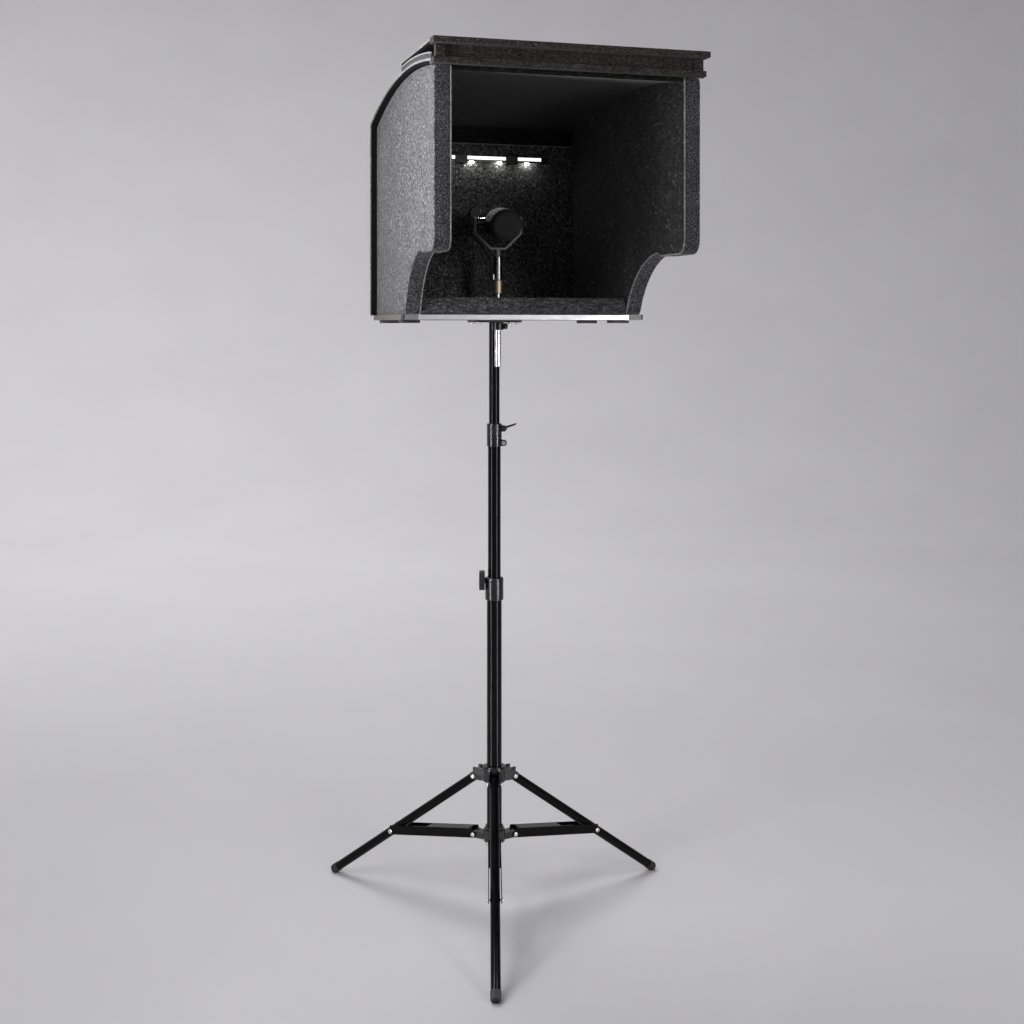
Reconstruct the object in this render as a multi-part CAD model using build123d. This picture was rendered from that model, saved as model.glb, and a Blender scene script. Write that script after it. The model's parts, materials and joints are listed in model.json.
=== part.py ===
from build123d import *
import math
import os

# Portable vocal booth on a folding light stand, with a light bar and a microphone.
# Millimetres. Origin on the floor under the pole, +Z up, the booth's mouth towards -Y.

os.makedirs("parts", exist_ok=True)

# ---- Stand ----------------------------------------------------------------
BOTTOM_R, MID_R, TOP_R = 14.0, 12.0, 10.0      # outer radii of the three tubes
TUBE_WALL, INNER_WALL = 1.25, 1.2
BOTTOM_TUBE_Z = (127.0, 600.0)
MID_TUBE_Z = (476.0, 890.0)
TOP_TUBE_Z = (668.0, 1106.4)
LOWER_COLLAR_Z = (583.5, 626.0)
UPPER_COLLAR_Z = (873.0, 916.0)
RUN = 0.05                                      # radial running clearance
BUSH_LENGTH = 22.0

LEG_R = 8.5
LEG_WALL = 1.2
LEG_SHORT = 4.0                                 # a leg's tube stops this far before its axis's end
CAP_R = 9.1
CAP_OVER = 14.0                                 # a cap's rim lies this far before the end of the leg's axis
CAP_PAST = 3.6
CAP_ROUND = 4.5
PIVOT_R = 40.0                                  # leg and brace pivots from the pole's axis
CROWN_PIVOT_Z = 247.0
SPREADER_PIVOT_Z = 137.0
FOOT_R = 370.0                                  # where a leg's axis ends
FOOT_AXIS_Z = 6.6
BRACE_JOINT_R = 227.7
FRONT_LEG_AZIMUTH = 254.7
LEG_AZIMUTHS = [FRONT_LEG_AZIMUTH + 120.0 * k for k in range(3)]
CROWN_Z = (242.0, 271.0)
SPREADER_Z = (130.0, 152.0)
CHEEK_T = 1.5
WEB_FROM, WEB_SHORT = 8.0, 86.0                  # where a brace's web starts, and how far before its joint it ends
BRACE_GAP = 21.0                                # between a brace's cheeks
LUG_HALF = 8.8                                  # half the gap in the crown's forks
RIVET_R = 2.5
KNOB_AZIMUTH = 163.6                            # lower clamp knob
LEVER_AZIMUTH = -16.4                           # upper clamp's lugs
CROWN_KNOB_AZIMUTH = FRONT_LEG_AZIMUTH - 180.0

LEG_DROP = math.degrees(math.atan2(CROWN_PIVOT_Z - FOOT_AXIS_Z, FOOT_R - PIVOT_R))
LEG_LENGTH = math.hypot(CROWN_PIVOT_Z - FOOT_AXIS_Z, FOOT_R - PIVOT_R)
BRACE_JOINT_ALONG = (BRACE_JOINT_R - PIVOT_R) / math.cos(math.radians(LEG_DROP))
BRACE_JOINT_Z = CROWN_PIVOT_Z - BRACE_JOINT_ALONG * math.sin(math.radians(LEG_DROP))
BRACE_LENGTH = math.hypot(BRACE_JOINT_R - PIVOT_R, SPREADER_PIVOT_Z - BRACE_JOINT_Z)
BRACE_DROP = math.degrees(math.atan2(SPREADER_PIVOT_Z - BRACE_JOINT_Z, BRACE_JOINT_R - PIVOT_R))

# ---- Booth ----------------------------------------------------------------
FRONT_Y, PANEL_REAR_Y = -448.0, 97.0
HALF_FRONT, HALF_REAR = 221.5, 206.5            # outer faces of the side panels
PANEL_T = 27.5
BACK_T = 28.0
DECK_Z, DECK_T = 1120.0, 9.5
BASE_Z = DECK_Z - DECK_T
BASE_FRONT_Y = -204.0
FLOOR_PAD_T = 29.5
LOBE_Z = 1217.0                                 # underside of a side panel's front lobe
CUSP_Y, CUSP_Z = -338.0, 1222.85                # where the lobe meets the curved cut-out
CUT_MID_Y, CUT_MID_Z = -256.0, 1191.5
CUT_END_Y = -202.0
SKIN_REAR_Y = 104.0
SKIN_T = 7.0
SKIN_HALF_FRONT, SKIN_HALF_REAR = 226.5, 216.5
ROOF_RADIUS, ROOF_APEX_Y, ROOF_APEX_Z = 1244.0, -225.0, 1529.5
SKIN_CORNER_R = 66.0
LINER_T = 8.0
LINER_CORNER_R = 32.0
SEAM_Z = 1452.0                                 # top of the back panel, foot of the liner
FIT = 0.2                                       # gap between panels that only touch
ROOF_PAD_T = 10.5
FLAP_REAR_Y = -205.0
FLAP_T = 6.0
FLAP_REAR_Z = ROOF_APEX_Z + ROOF_PAD_T + 1.2     # underside, just over the roof pad's crown
RAIL_Z = (1502.5, 1541.5)
RAIL_WEB_T = 6.0
RAIL_LIP_T = 9.5
RAIL_TOP_DEPTH, RAIL_BOTTOM_DEPTH = 26.0, 15.0
RAIL_WEB_HALF, RAIL_TOP_HALF, RAIL_BOTTOM_HALF = 222.0, 228.5, 226.0

# ---- Light bar ------------------------------------------------------------
LIGHT_Z = 1421.0
LIGHT_HALF = 110.0
LIGHT_HEIGHT = 10.0
LIGHT_Y = (55.0, 68.8)                          # front face, face against the back panel
LED_SPACING = 55.6
CLIP_X = 50.5
CLIP_W = 24.0

# ---- Microphone and its rod ------------------------------------------------
ROD_Y = -24.0
ROD_R = 6.0
ROD_Z = (1024.0, 1227.0)
STEM_R = 8.8
STEM_Z = (1185.2, 1229.0)
COLLAR_Z = (1160.0, 1185.0)
YOKE_BAR_Z = 1244.0
YOKE_BAR_HALF, YOKE_HALF = 14.0, 43.0
YOKE_T, YOKE_DEPTH = 4.0, 14.0
MIC_PIVOT_Z = 1294.0
MIC_YAW = -8.4
MIC_TILT = 6.5
MIC_BODY_R, FOAM_R, FOAM_FACE_R = 24.0, 28.5, 23.0
FOAM_Y = (-129.0, -36.0)
GRILLE_R = 22.0
KNOB_R = 12.0


# ---- Helpers --------------------------------------------------------------
def save(name, shape):
    export_step(shape, f"parts/{name}.step")


def post(radius, low, high, x=0.0, y=0.0):
    return Pos(x, y, (low + high) / 2) * Cylinder(radius, high - low)


def ring(outer, inner, low, high, x=0.0, y=0.0):
    return post(outer, low, high, x, y) - post(inner, low - 1, high + 1, x, y)


def block(x, y, z):
    size = (x[1] - x[0], y[1] - y[0], z[1] - z[0])
    centre = ((x[0] + x[1]) / 2, (y[0] + y[1]) / 2, (z[0] + z[1]) / 2)
    return Pos(*centre) * Box(*size)


def spindle(radius, start, end, axis):
    """A cylinder along X or Y between two coordinates, about that axis."""
    turn = Rot(0, 90, 0) if axis == "x" else Rot(-90, 0, 0)
    middle = (start + end) / 2
    place = Pos(middle, 0, 0) if axis == "x" else Pos(0, middle, 0)
    return place * turn * Cylinder(radius, end - start)


def around(shape, azimuth):
    """Turns a shape drawn along +X to face an azimuth."""
    return Rot(0, 0, azimuth) * shape


def group(shapes):
    return Compound(children=list(shapes))


# ---- Stand pieces ----------------------------------------------------------
def tubes():
    save("bottom_tube", ring(BOTTOM_R, BOTTOM_R - TUBE_WALL, *BOTTOM_TUBE_Z))
    foot = MID_TUBE_Z[0]
    bush = ring(BOTTOM_R - TUBE_WALL - RUN, MID_R + 0.02, foot, foot + BUSH_LENGTH)
    save("mid_tube", group([ring(MID_R, MID_R - INNER_WALL, *MID_TUBE_Z), bush]))
    foot = TOP_TUBE_Z[0]
    bush = ring(MID_R - INNER_WALL - RUN, TOP_R + 0.02, foot, foot + BUSH_LENGTH)
    save("top_tube", group([ring(TOP_R, TOP_R - INNER_WALL, *TOP_TUBE_Z), bush]))


def tube_end_plug():
    low = BOTTOM_TUBE_Z[0]
    plug = post(BOTTOM_R + 1.0, low - 6, low) + post(BOTTOM_R - TUBE_WALL, low, low + 14)
    plug = fillet(plug.faces().sort_by(Axis.Z)[0].edges(), 2.5)
    save("tube_end_plug", plug - post(6.0, low - 3, low + 15))


def lower_collar():
    low, high = LOWER_COLLAR_Z
    shoulder = BOTTOM_TUBE_Z[1]
    body = fillet(post(17.2, low, high).edges(), 2.0)
    boss = around(Pos(0, 0, 620) * spindle(6.0, 5.0, 17.8, "x"), KNOB_AZIMUTH)
    body = body + boss
    body = body - post(BOTTOM_R + 0.02, low - 1, shoulder) - post(MID_R + RUN, low - 1, high + 1)
    hole = around(Pos(0, 0, 620) * spindle(2.55, 8.0, 20.0, "x"), KNOB_AZIMUTH)
    save("lower_collar", body - hole)


def ribbed_knob(radius, length, ribs, depth):
    """A knob along +X from x = 0, with scallops round its rim and a domed cap."""
    knob = fillet(spindle(radius, 0, length, "x").edges(), 1.5)
    for k in range(ribs):
        groove = Rot(360.0 / ribs * k, 0, 0) * Pos(0, radius, 0) * spindle(depth, -1, length + 1, "x")
        knob = knob - groove
    return knob


def lower_knob():
    knob = Pos(18.0, 0, 0) * ribbed_knob(18.5, 10.4, 12, 2.2)
    knob = knob + spindle(2.5, 12.4, 19.0, "x")
    save("lower_knob", around(Pos(0, 0, 620) * knob, KNOB_AZIMUTH))


LUG_R, LUG_LENGTH, LUG_OUT = 6.0, 10.0, 17.7
LEVER_PIVOT_Z, LUG_BOLT_Z = 906.6, 879.5


def lug(height):
    return Pos(LUG_OUT, 0, height) * spindle(LUG_R, -LUG_LENGTH / 2, LUG_LENGTH / 2, "y")


def upper_collar():
    low, high = UPPER_COLLAR_Z
    body = fillet(post(14.1, low, high).edges(), 1.0)
    for height in (LEVER_PIVOT_Z, LUG_BOLT_Z):
        web = block((10.0, LUG_OUT), (-3.0, 3.0), (height - LUG_R, height + LUG_R))
        body = body + lug(height) + web
        body = body - Pos(LUG_OUT, 0, height) * spindle(2.05, -9, 9, "y")
    body = around(body, LEVER_AZIMUTH)
    step = MID_TUBE_Z[1]
    body = body - post(MID_R + 0.02, low - 1, step) - post(TOP_R + RUN, low - 1, high + 1)
    save("upper_collar", body)
    bolt = spindle(2.0, -5.2, 5.2, "y") + spindle(4.0, -8.0, -5.1, "y") + spindle(4.4, 5.1, 8.0, "y")
    save("collar_bolt", around(Pos(LUG_OUT, 0, LUG_BOLT_Z) * bolt, LEVER_AZIMUTH))


def upper_lever():
    arm = Polygon((-2.5, -2.5), (22.5, 7.2), (24.5, 10.8), (3, 4.5), (-3, 3), align=None)
    arm = Plane.XZ * arm
    plate = Pos(0, -5.2, 0) * extrude(arm, 3.2, dir=(0, -1, 0))
    hub = spindle(4.6, -8.4, -5.2, "y")
    pin = spindle(2.0, -8.0, 5.4, "y") + spindle(3.6, 5.3, 7.6, "y")
    lever = plate + hub + pin
    save("upper_lever", around(Pos(LUG_OUT, 0, LEVER_PIVOT_Z) * lever, LEVER_AZIMUTH))


def crown():
    low, high = CROWN_Z
    body = post(20.0, low, high) + post(22.5, high - 9, high - 2)
    for azimuth in LEG_AZIMUTHS:
        for side in (-1, 1):
            near, far = sorted((side * LUG_HALF, side * (LUG_HALF + 3.2)))
            cheek = block((8, PIVOT_R), (near, far), (CROWN_PIVOT_Z - 5, high - 6))
            tip = Pos(PIVOT_R, 0, CROWN_PIVOT_Z + 2) * spindle(7.0, near, far, "y")
            body = body + around(cheek + tip, azimuth)
            hole = Pos(PIVOT_R, 0, CROWN_PIVOT_Z) * spindle(RIVET_R, near - 1, far + 1, "y")
            body = body - around(hole, azimuth)
    body = body - post(BOTTOM_R + RUN, low - 6, high + 1)
    hole = Pos(0, 0, 262) * spindle(2.05, 10.0, 26.0, "x")
    save("crown", body - around(hole, CROWN_KNOB_AZIMUTH))


def crown_knob():
    knob = Pos(22.8, 0, 0) * ribbed_knob(8.0, 12.0, 8, 1.3) + spindle(2.0, 14.3, 24.0, "x")
    save("crown_knob", around(Pos(0, 0, 262) * knob, CROWN_KNOB_AZIMUTH))


def rivet(half):
    """A shank along Y with a domed head at each end."""
    pin = spindle(RIVET_R - 0.02, -half - 0.5, half + 0.5, "y")
    for side in (-1, 1):
        near, far = sorted((side * half, side * (half + 1.8)))
        head = spindle(4.2, near, far, "y")
        edge = head.edges().sort_by(Axis.Y)[-1 if side > 0 else 0]
        pin = pin + fillet(edge, 1.2)
    return pin


def pivot_rivets():
    crown_pins, spreader_pins = [], []
    for azimuth in LEG_AZIMUTHS:
        pin = Pos(PIVOT_R, 0, CROWN_PIVOT_Z) * rivet(LUG_HALF + 3.25)
        crown_pins.append(around(pin, azimuth))
        pin = Pos(PIVOT_R, 0, SPREADER_PIVOT_Z) * rivet(BRACE_GAP / 2 + CHEEK_T + 0.1)
        spreader_pins.append(around(pin, azimuth))
    save("crown_rivets", group(crown_pins))
    save("spreader_rivets", group(spreader_pins))


def spreader():
    low, high = SPREADER_Z
    body = post(20.0, low, high) + post(17.0, high, high + 6)
    half = BRACE_GAP / 2 - 0.3
    for azimuth in LEG_AZIMUTHS:
        ear = block((10, PIVOT_R), (-half, half), (SPREADER_PIVOT_Z - 6, SPREADER_PIVOT_Z + 6))
        tip = Pos(PIVOT_R, 0, SPREADER_PIVOT_Z) * spindle(6.0, -half, half, "y")
        hole = Pos(PIVOT_R, 0, SPREADER_PIVOT_Z) * spindle(RIVET_R, -half - 1, half + 1, "y")
        body = body + around(ear + tip, azimuth) - around(hole, azimuth)
    save("spreader", body - post(BOTTOM_R + 0.02, low - 1, high + 10))


def leg(azimuth):
    """Drawn along +X from its crown pivot, then dropped to its angle."""
    length = LEG_LENGTH - LEG_SHORT
    body = spindle(LEG_R, -9.0, length, "x") - spindle(LEG_R - LEG_WALL, 16.0, length + 1, "x")
    body = body - spindle(RIVET_R, -12, 12, "y")
    shank = spindle(2.2, -LEG_R - 1.2, LEG_R + 1.2, "y")
    shank = shank - spindle(LEG_R - LEG_WALL, -20, 20, "x")
    body = body + Pos(BRACE_JOINT_ALONG, 0, 0) * shank
    return around(Pos(PIVOT_R, 0, CROWN_PIVOT_Z) * Rot(0, LEG_DROP, 0) * body, azimuth)


def foot_cap(azimuth):
    outer = spindle(CAP_R, LEG_LENGTH - CAP_OVER, LEG_LENGTH + CAP_PAST, "x")
    outer = fillet(outer.edges().sort_by(Axis.X)[-1], CAP_ROUND)
    outer = outer - spindle(LEG_R + 0.02, LEG_LENGTH - 2 * CAP_OVER, LEG_LENGTH - LEG_SHORT, "x")
    cap = Pos(PIVOT_R, 0, CROWN_PIVOT_Z) * Rot(0, LEG_DROP, 0) * outer
    above = block((0, 600), (-50, 50), (0, 200))
    return around(cap & above, azimuth)


def brace(azimuth):
    """Two cheeks joined by a web over their inner half, open below for the folded leg."""
    body = None
    for side in (-1, 1):
        near, far = sorted((side * BRACE_GAP / 2, side * (BRACE_GAP / 2 + CHEEK_T)))
        cheek = block((0, BRACE_LENGTH), (near, far), (-6, 11.5))
        for end in (0, BRACE_LENGTH):
            cheek = cheek + Pos(end, 0, 0) * spindle(6.0, near, far, "y")
        cheek = cheek - Pos(0, 0, 0) * spindle(RIVET_R + RUN, near - 1, far + 1, "y")
        body = cheek if body is None else body + cheek
    half = BRACE_GAP / 2 + 0.5
    body = body + block((WEB_FROM, BRACE_LENGTH - WEB_SHORT), (-half, half), (10.0, 11.5))
    body = Rot(0, BRACE_DROP, 0) * body
    return around(Pos(PIVOT_R, 0, SPREADER_PIVOT_Z) * body, azimuth)


def brace_rivets(azimuth):
    """Domed heads outside the cheeks, over the joint with the leg."""
    face = BRACE_GAP / 2 + CHEEK_T
    heads = []
    for side in (-1, 1):
        near, far = sorted((side * face, side * (face + 1.8)))
        head = Pos(BRACE_LENGTH, 0, 0) * spindle(4.2, near, far, "y")
        edge = head.edges().sort_by(Axis.Y)[-1 if side > 0 else 0]
        head = Rot(0, BRACE_DROP, 0) * fillet(edge, 1.2)
        heads.append(around(Pos(PIVOT_R, 0, SPREADER_PIVOT_Z) * head, azimuth))
    return heads


def legs():
    for number, azimuth in enumerate(LEG_AZIMUTHS, 1):
        save(f"leg_{number}", leg(azimuth))
        save(f"foot_cap_{number}", foot_cap(azimuth))
        save(f"brace_{number}", group([brace(azimuth), *brace_rivets(azimuth)]))


def swivel_spigot():
    top = TOP_TUBE_Z[1]
    body = post(TOP_R - 1.22, top - 26, top) + post(ROD_R, top - 1, DECK_Z + 13)
    nut = Pos(0, 0, DECK_Z + 0.3) * extrude(RegularPolygon(10.4, 6), 8)
    nut = nut - post(ROD_R + 0.02, DECK_Z, DECK_Z + 20)
    save("swivel_spigot", group([body, nut]))


# ---- Booth pieces ----------------------------------------------------------
def slab(front_y, front_half, rear_y, rear_half, low, high):
    """A block with a symmetric trapezium for its plan."""
    plan = Polygon(
        (-front_half, front_y),
        (front_half, front_y),
        (rear_half, rear_y),
        (-rear_half, rear_y),
        align=None,
    )
    return Pos(0, 0, low) * extrude(plan, high - low, dir=(0, 0, 1))


def panel_half(y, inset=0.0):
    """Half the width of the booth at y, over the side panels' outer faces, less an inset."""
    share = (y - FRONT_Y) / (PANEL_REAR_Y - FRONT_Y)
    return HALF_FRONT + (HALF_REAR - HALF_FRONT) * share - inset


def skin_half(y):
    share = (y - FRONT_Y) / (SKIN_REAR_Y - FRONT_Y)
    return SKIN_HALF_FRONT + (SKIN_HALF_REAR - SKIN_HALF_FRONT) * share


def roof_region(inset, rear_y, corner_r):
    """The side view's region under the roof's arc, in front of rear_y."""
    disc = Pos(ROOF_APEX_Y, ROOF_APEX_Z - ROOF_RADIUS) * Circle(ROOF_RADIUS - inset)
    front, foot, top = FRONT_Y - 80, 1050.0, 1700.0
    frame = Pos((front + rear_y) / 2, (foot + top) / 2) * Rectangle(rear_y - front, top - foot)
    region = disc & frame
    if corner_r > 0:
        corner = max(region.vertices(), key=lambda v: v.Y * 2 + v.Z)
        region = fillet(corner, corner_r)
    return region


def side_prism(region, half=300.0):
    """Sweeps a side-view region (y, z) across the booth."""
    return Pos(-half, 0, 0) * extrude(Plane.YZ * region, 2 * half, dir=(1, 0, 0))


def side_outline():
    """A side panel: roof arc above, lobe and curved cut-out at the front."""
    region = roof_region(SKIN_T + FIT, SKIN_REAR_Y - SKIN_T - FIT, SKIN_CORNER_R - SKIN_T)
    width, height = PANEL_REAR_Y - FRONT_Y, 1700.0 - DECK_Z
    frame = Pos((FRONT_Y + PANEL_REAR_Y) / 2, DECK_Z + height / 2) * Rectangle(width, height)
    region = region & frame
    with BuildLine() as edge:
        start = Polyline((CUT_END_Y, DECK_Z - 20), (FRONT_Y - 40, DECK_Z - 20),
                         (FRONT_Y - 40, LOBE_Z), (CUSP_Y - 14, LOBE_Z), (CUSP_Y, CUSP_Z))
        ThreePointArc((CUSP_Y, CUSP_Z), (CUT_MID_Y, CUT_MID_Z), (CUT_END_Y, DECK_Z))
        Line((CUT_END_Y, DECK_Z), start @ 0)
    region = region - make_face(edge.edges())
    toe = min(region.vertices(), key=lambda v: math.hypot(v.X - FRONT_Y, v.Y - LOBE_Z))
    region = fillet(toe, 22.0)
    heel = min(region.vertices(), key=lambda v: math.hypot(v.X - CUSP_Y + 14, v.Y - LOBE_Z))
    return fillet(heel, 12.0)


def side_panels():
    prism = side_prism(side_outline())
    for name, side in (("side_panel_left", -1), ("side_panel_right", 1)):
        plan = Polygon(
            (side * panel_half(FRONT_Y - 9), FRONT_Y - 9),
            (side * panel_half(FRONT_Y - 9, PANEL_T), FRONT_Y - 9),
            (side * panel_half(PANEL_REAR_Y + 9, PANEL_T), PANEL_REAR_Y + 9),
            (side * panel_half(PANEL_REAR_Y + 9), PANEL_REAR_Y + 9),
            align=None,
        )
        strip = Pos(0, 0, DECK_Z - 5) * extrude(plan, 600, dir=(0, 0, 1))
        save(name, prism & strip)


def outer_skin():
    outer = roof_region(0, SKIN_REAR_Y, SKIN_CORNER_R)
    inner = roof_region(SKIN_T, SKIN_REAR_Y - SKIN_T, SKIN_CORNER_R - SKIN_T)
    plan = slab(FRONT_Y, skin_half(FRONT_Y), SKIN_REAR_Y + 5, skin_half(SKIN_REAR_Y + 5), DECK_Z, 1700)
    save("outer_skin", side_prism(outer - inner) & plan)


def ceiling_liner():
    front = FRONT_Y + 2
    outer = roof_region(SKIN_T + FIT, SKIN_REAR_Y - SKIN_T - FIT, SKIN_CORNER_R - SKIN_T)
    inner = roof_region(SKIN_T + LINER_T, PANEL_REAR_Y - BACK_T, LINER_CORNER_R)
    inset = PANEL_T + FIT
    plan = slab(front, panel_half(front, inset), PANEL_REAR_Y, panel_half(PANEL_REAR_Y, inset),
                SEAM_Z + FIT, 1700)
    save("ceiling_liner", side_prism(outer - inner) & plan)


def back_panel():
    front, rear, inset = PANEL_REAR_Y - BACK_T, PANEL_REAR_Y - FIT, PANEL_T + FIT
    save("back_panel", slab(front, panel_half(front, inset), rear, panel_half(rear, inset),
                            DECK_Z, SEAM_Z))


def floor_pad():
    rear, inset = PANEL_REAR_Y - BACK_T - FIT, PANEL_T + FIT
    pad = slab(BASE_FRONT_Y + 1, panel_half(BASE_FRONT_Y, inset), rear, panel_half(rear, inset),
               DECK_Z, DECK_Z + FLOOR_PAD_T)
    lip = pad.faces().sort_by(Axis.Y)[0].edges().sort_by(Axis.Z)[-1]
    pad = fillet(lip, 4.0)
    well = Pos(0, ROD_Y / 2, DECK_Z - 1) * extrude(SlotOverall(60, 34, rotation=90), 60)
    save("floor_pad", pad - well)


def top_flap():
    region = Polygon(
        (FRONT_Y, RAIL_Z[1] - FLAP_T - 0.5),
        (FLAP_REAR_Y, FLAP_REAR_Z),
        (FLAP_REAR_Y, FLAP_REAR_Z + FLAP_T),
        (FRONT_Y, RAIL_Z[1] - 0.5),
        align=None,
    )
    plan = slab(FRONT_Y, skin_half(FRONT_Y), FLAP_REAR_Y + 1, skin_half(FLAP_REAR_Y + 1), 1500, 1700)
    save("top_flap", side_prism(region) & plan)


def roof_pad():
    outer = roof_region(-ROOF_PAD_T, SKIN_REAR_Y, 0)
    inner = roof_region(0, SKIN_REAR_Y, 0)
    region = (outer - inner) & (Pos((FRONT_Y + FLAP_REAR_Y) / 2, 1500)
                                * Rectangle(FLAP_REAR_Y - FRONT_Y - 1, 400))
    plan = slab(FRONT_Y, skin_half(FRONT_Y), FLAP_REAR_Y, skin_half(FLAP_REAR_Y), 1400, 1700)
    save("roof_pad", side_prism(region) & plan)


def front_rail():
    low, high = RAIL_Z
    back, web = FRONT_Y - 0.1, FRONT_Y - 0.1 - RAIL_WEB_T
    rail = block((-RAIL_WEB_HALF, RAIL_WEB_HALF), (web, back), (low, high))
    top_lip = block((-RAIL_TOP_HALF, RAIL_TOP_HALF), (FRONT_Y - RAIL_TOP_DEPTH, back),
                    (high - RAIL_LIP_T, high))
    bottom_lip = block((-RAIL_BOTTOM_HALF, RAIL_BOTTOM_HALF),
                       (FRONT_Y - RAIL_BOTTOM_DEPTH, back), (low, low + RAIL_LIP_T))
    rail = rail + top_lip + bottom_lip
    inner = [e for e in rail.edges().filter_by(Axis.X)
             if abs(e.center().Y - web) < 0.1 and low + 2 < e.center().Z < high - 2]
    rail = fillet(inner, 3.5)
    outer = [e for e in rail.edges().filter_by(Axis.X) if e.center().Y < FRONT_Y - 10]
    save("front_rail", fillet(outer, 1.5))


def rail_end_blocks():
    low, high = RAIL_Z[0] + RAIL_LIP_T, RAIL_Z[1] - RAIL_LIP_T
    front, back = FRONT_Y - 12.0, FRONT_Y - 0.1 - RAIL_WEB_T
    blocks = []
    for side in (-1, 1):
        x = sorted((side * (RAIL_WEB_HALF - 14), side * RAIL_WEB_HALF))
        piece = block(x, (front, back), (low + 0.1, high - 0.1))
        piece = chamfer(piece.edges().filter_by(Axis.X).group_by(Axis.Y)[-1], 3.6)
        blocks.append(piece)
    save("rail_end_blocks", group(blocks))


TRIM_DEPTH, CAP_T = 16.0, 3.5


def base():
    front = BASE_FRONT_Y + TRIM_DEPTH
    half = HALF_FRONT - 2.0
    deck = slab(front, half - 1, SKIN_REAR_Y, skin_half(SKIN_REAR_Y) - 4, BASE_Z, DECK_Z)
    rear = deck.edges().filter_by(Axis.Z).group_by(Axis.Y)[-1]
    deck = fillet(rear, 10.0)
    deck = deck - post(ROD_R + RUN, BASE_Z - 1, DECK_Z + 1)
    deck = deck - post(ROD_R + 0.6, BASE_Z - 1, DECK_Z + 1, 0, ROD_Y)
    for x, y in bolt_places():
        deck = deck - post(2.6, BASE_Z - 1, DECK_Z + 1, x, y)
    save("base_deck", deck)
    inner = panel_half(BASE_FRONT_Y, PANEL_T)
    depth = (BASE_FRONT_Y, front)
    bar = block((-inner + 0.1, inner - 0.1), depth, (BASE_Z, DECK_Z))
    bar = fillet(bar.edges().filter_by(Axis.X).group_by(Axis.Y)[0], 1.2)
    corners, caps = [], []
    for side in (-1, 1):
        x = sorted((side * inner, side * (half - CAP_T)))
        corners.append(block(x, depth, (BASE_Z, DECK_Z)))
        x = sorted((side * (half - CAP_T), side * half))
        cap = block(x, depth, (BASE_Z + 0.6, DECK_Z))
        front_edge = cap.edges().filter_by(Axis.Z).group_by(Axis.Y)[0]
        caps.append(fillet(front_edge, 1.4))
    save("base_trim", group([bar, *corners]))
    save("trim_end_caps", group(caps))


PLATE_X, PLATE_Y, PLATE_T = (-48.0, 42.0), (-46.0, 22.0), 4.0
PLATE_Z = BASE_Z - PLATE_T


def bolt_places():
    return [(x, y) for x in (PLATE_X[0] + 8, PLATE_X[1] - 8) for y in (PLATE_Y[0] + 8, PLATE_Y[1] - 8)]


def mount_plate():
    plate = block(PLATE_X, PLATE_Y, (PLATE_Z, BASE_Z))
    plate = fillet(plate.edges().filter_by(Axis.Z), 6.0)
    plate = plate - post(ROD_R + RUN, PLATE_Z - 1, BASE_Z + 1)
    plate = plate - post(ROD_R + 0.6, PLATE_Z - 1, BASE_Z + 1, 0, ROD_Y)
    bolts = []
    for x, y in bolt_places():
        plate = plate - post(2.6, PLATE_Z - 1, BASE_Z + 1, x, y)
        head = post(4.5, PLATE_Z - 3.5, PLATE_Z, x, y)
        head = fillet(head.edges().sort_by(Axis.Z)[0], 1.2)
        socket = Pos(x, y, PLATE_Z - 4) * extrude(RegularPolygon(2.2, 6), 2.4)
        bolts.append(head + post(2.5, PLATE_Z - 0.5, DECK_Z - 0.5, x, y) - socket)
    save("mount_plate", plate)
    screw = Pos(PLATE_X[1], -2.0, PLATE_Z + PLATE_T / 2) * spindle(1.7, 0, 7.5, "x")
    save("mount_bolts", group([*bolts, screw]))


def rod_clamp():
    low, high = PLATE_Z - 14.0, PLATE_Z - 0.1
    body = fillet(post(11.0, low, high, 0, ROD_Y).edges(), 1.0)
    body = body - post(ROD_R + RUN, low - 1, high + 1, 0, ROD_Y)
    middle = (low + high) / 2
    hole = Pos(0, ROD_Y, middle) * spindle(2.05, 3.0, 14.0, "x")
    save("rod_clamp", body - hole)
    screw = Pos(11.2, 0, 0) * ribbed_knob(5.6, 7.0, 8, 0.9) + spindle(2.0, 6.3, 12.0, "x")
    save("clamp_screw", Pos(0, ROD_Y, middle) * screw)


def rubber_pads():
    pads = []
    for x in (-202.0, 182.0):
        for y in (-176.0, -8.0):
            pad = block((x - 17, x + 17), (y - 14, y + 14), (BASE_Z - 5.5, BASE_Z))
            pads.append(fillet(pad.edges().filter_by(Axis.Z), 4.0))
    save("rubber_pads", group(pads))


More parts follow.
